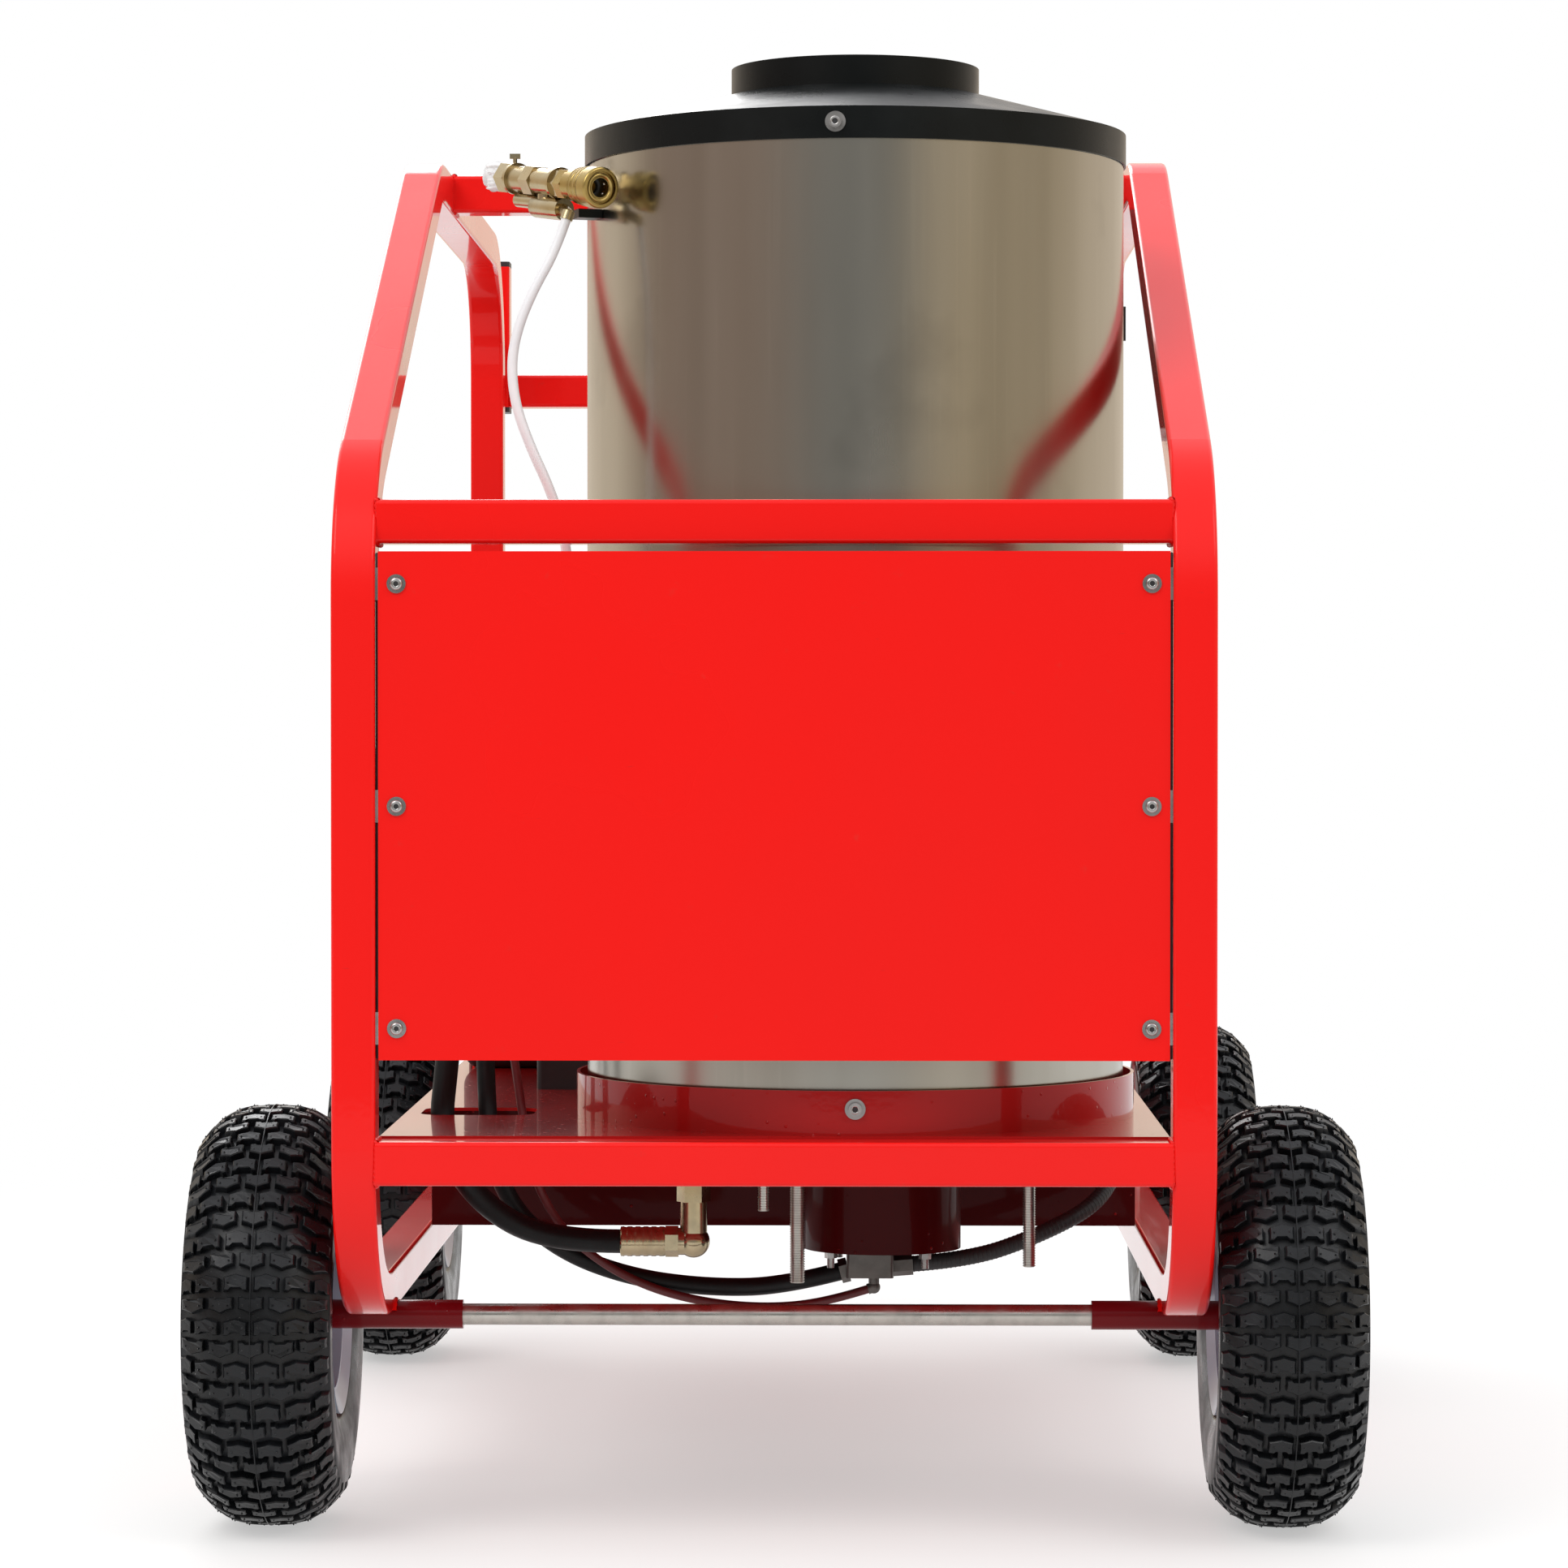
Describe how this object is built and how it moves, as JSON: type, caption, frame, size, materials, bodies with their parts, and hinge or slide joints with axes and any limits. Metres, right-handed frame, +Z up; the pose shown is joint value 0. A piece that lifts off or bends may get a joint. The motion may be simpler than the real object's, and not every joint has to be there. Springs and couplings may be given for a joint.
{
  "type": "pressure washer",
  "caption": "Hot-water pressure washer: upright stainless boiler, engine and belt-driven pump on a bent square-tube frame with four pneumatic tyres.",
  "frame": {"origin": "on the ground, at the middle of the bounding box", "axes": "-Y is the front with the flat panel, +X is the machine's width to the right seen from the front, +Z is up"},
  "size_m": [1.0332, 1.666, 1.318],
  "materials": {
    "frame_paint": "gloss red powder coat",
    "panel_paint": "gloss red powder coat on sheet",
    "stainless": "polished stainless sheet",
    "stainless_fasteners": "stainless",
    "black_enamel": "semi-gloss black enamel",
    "zinc_steel": "yellow-tinted zinc plate",
    "steel": "bare steel",
    "brass": "machined brass",
    "tread_rubber": "moulded turf tread",
    "rim_paint": "light grey enamel",
    "engine_metal": "dark painted casting",
    "shroud_paint": "black sheet metal",
    "muffler_metal": "heat-proof black",
    "filter_plastic": "matte black",
    "cast_aluminium": "as cast",
    "pump_brass": "forged brass",
    "belt_rubber": "matte",
    "tank_plastic": "rotomoulded black",
    "black_plastic": "moulded black",
    "knob_plastic": "moulded black",
    "red_plastic": "moulded red",
    "hose_rubber": "black hose cover",
    "red_tube": "red fuel tube",
    "white_tube": "white drain tube",
    "grey_conduit": "corrugated conduit"
  },
  "bodies": {
    "frame": {"air_filter": "filter_plastic", "axle_retainers": "stainless_fasteners", "axle_sleeves": "frame_paint", "axles": "zinc_steel", "battery": "black_plastic", "belt_guard": "black_enamel", "boiler_base_ring": "frame_paint", "boiler_bolts": "stainless_fasteners", "boiler_lid": "black_enamel", "boiler_shell": "stainless", "burner_conduit": "grey_conduit", "burner_drum": "frame_paint", "burner_nozzle": "brass", "coil_inlet": "steel", "control_box": "black_enamel", "coupler_body": "brass", "deck_bearers": "frame_paint", "deck_pan": "frame_paint", "deck_studs": "zinc_steel", "drive_belts": "belt_rubber", "engine_block": "engine_metal", "engine_shroud": "shroud_paint", "flue_collar": "black_enamel", "front_crossbars": "frame_paint", "front_panel": "panel_paint", "fuel_hose": "hose_rubber", "fuel_line": "red_tube", "fuel_tank": "tank_plastic", "heating_coil": "steel", "muffler": "muffler_metal", "outlet_fittings": "steel", "outlet_pipe": "steel", "panel_fasteners": "stainless_fasteners", "pressure_hose": "hose_rubber", "pump_crankcase": "cast_aluminium", "pump_manifold": "pump_brass", "rack_bar": "frame_paint", "rack_caps": "black_plastic", "rack_uprights": "frame_paint", "rear_crossbars": "frame_paint", "relief_tube": "white_tube", "relief_valve": "brass", "side_hoop_left": "frame_paint", "side_hoop_right": "frame_paint", "unloader_valve": "brass"},
    "coupler_sleeve": {"coupler_sleeve": "brass"},
    "unloader_knob": {"unloader_knob": "red_plastic"},
    "thermostat_knob": {"thermostat_knob": "knob_plastic"},
    "burner_switch": {"burner_switch": "knob_plastic"},
    "fuel_cap": {"fuel_cap": "black_plastic"},
    "engine_pulley": {"engine_pulley": "engine_metal"},
    "pump_pulley": {"pump_pulley": "engine_metal"},
    "wheel_front_left": {"tyre_front_left": "tread_rubber", "rim_front_left": "rim_paint"},
    "wheel_front_right": {"tyre_front_right": "tread_rubber", "rim_front_right": "rim_paint"},
    "wheel_rear_left": {"tyre_rear_left": "tread_rubber", "rim_rear_left": "rim_paint"},
    "wheel_rear_right": {"tyre_rear_right": "tread_rubber", "rim_rear_right": "rim_paint"}
  },
  "joints": [
    {"name": "wheel_front_left_spin", "type": "hinge", "parent": "frame", "child": "wheel_front_left", "pos_m": [-0.4516, -0.643, 0.1885], "axis": [1, 0, 0], "continuous": true},
    {"name": "wheel_front_right_spin", "type": "hinge", "parent": "frame", "child": "wheel_front_right", "pos_m": [0.4516, -0.643, 0.1885], "axis": [1, 0, 0], "continuous": true},
    {"name": "wheel_rear_left_spin", "type": "hinge", "parent": "frame", "child": "wheel_rear_left", "pos_m": [-0.4516, 0.517, 0.1885], "axis": [1, 0, 0], "continuous": true},
    {"name": "wheel_rear_right_spin", "type": "hinge", "parent": "frame", "child": "wheel_rear_right", "pos_m": [0.4516, 0.517, 0.1885], "axis": [1, 0, 0], "continuous": true},
    {"name": "engine_spin", "type": "hinge", "parent": "frame", "child": "engine_pulley", "pos_m": [0.232, 0.43, 0.525], "axis": [1, 0, 0], "continuous": true},
    {"name": "pump_spin", "type": "hinge", "parent": "frame", "child": "pump_pulley", "pos_m": [0.232, 0.06, 0.505], "axis": [1, 0, 0], "continuous": true},
    {"name": "coupler_pull", "type": "slide", "parent": "frame", "child": "coupler_sleeve", "axis": [-0.5529, 0.8209, 0.143], "range_m": [0, 0.004], "stiffness_N_per_m": 1500, "springref_m": -0.004},
    {"name": "unloader_turn", "type": "hinge", "parent": "frame", "child": "unloader_knob", "pos_m": [-0.095, -0.008, 0.67], "axis": [0, 0, 1], "range_deg": [-180, 540]},
    {"name": "thermostat_turn", "type": "hinge", "parent": "frame", "child": "thermostat_knob", "pos_m": [0.345, 0.15, 1.14], "axis": [1, 0, 0], "range_deg": [0, 270]},
    {"name": "burner_switch_rock", "type": "hinge", "parent": "frame", "child": "burner_switch", "pos_m": [0.333, 0.055, 1.14], "axis": [0, 1, 0], "range_deg": [0, 20]},
    {"name": "fuel_cap_turn", "type": "hinge", "parent": "frame", "child": "fuel_cap", "pos_m": [-0.275, 0.47, 0.71], "axis": [0, 0, 1], "range_deg": [0, 90]}
  ],
  "couplings": [
    {"joint": "engine_spin", "follows": "pump_spin", "ratio": 2.2}
  ]
}
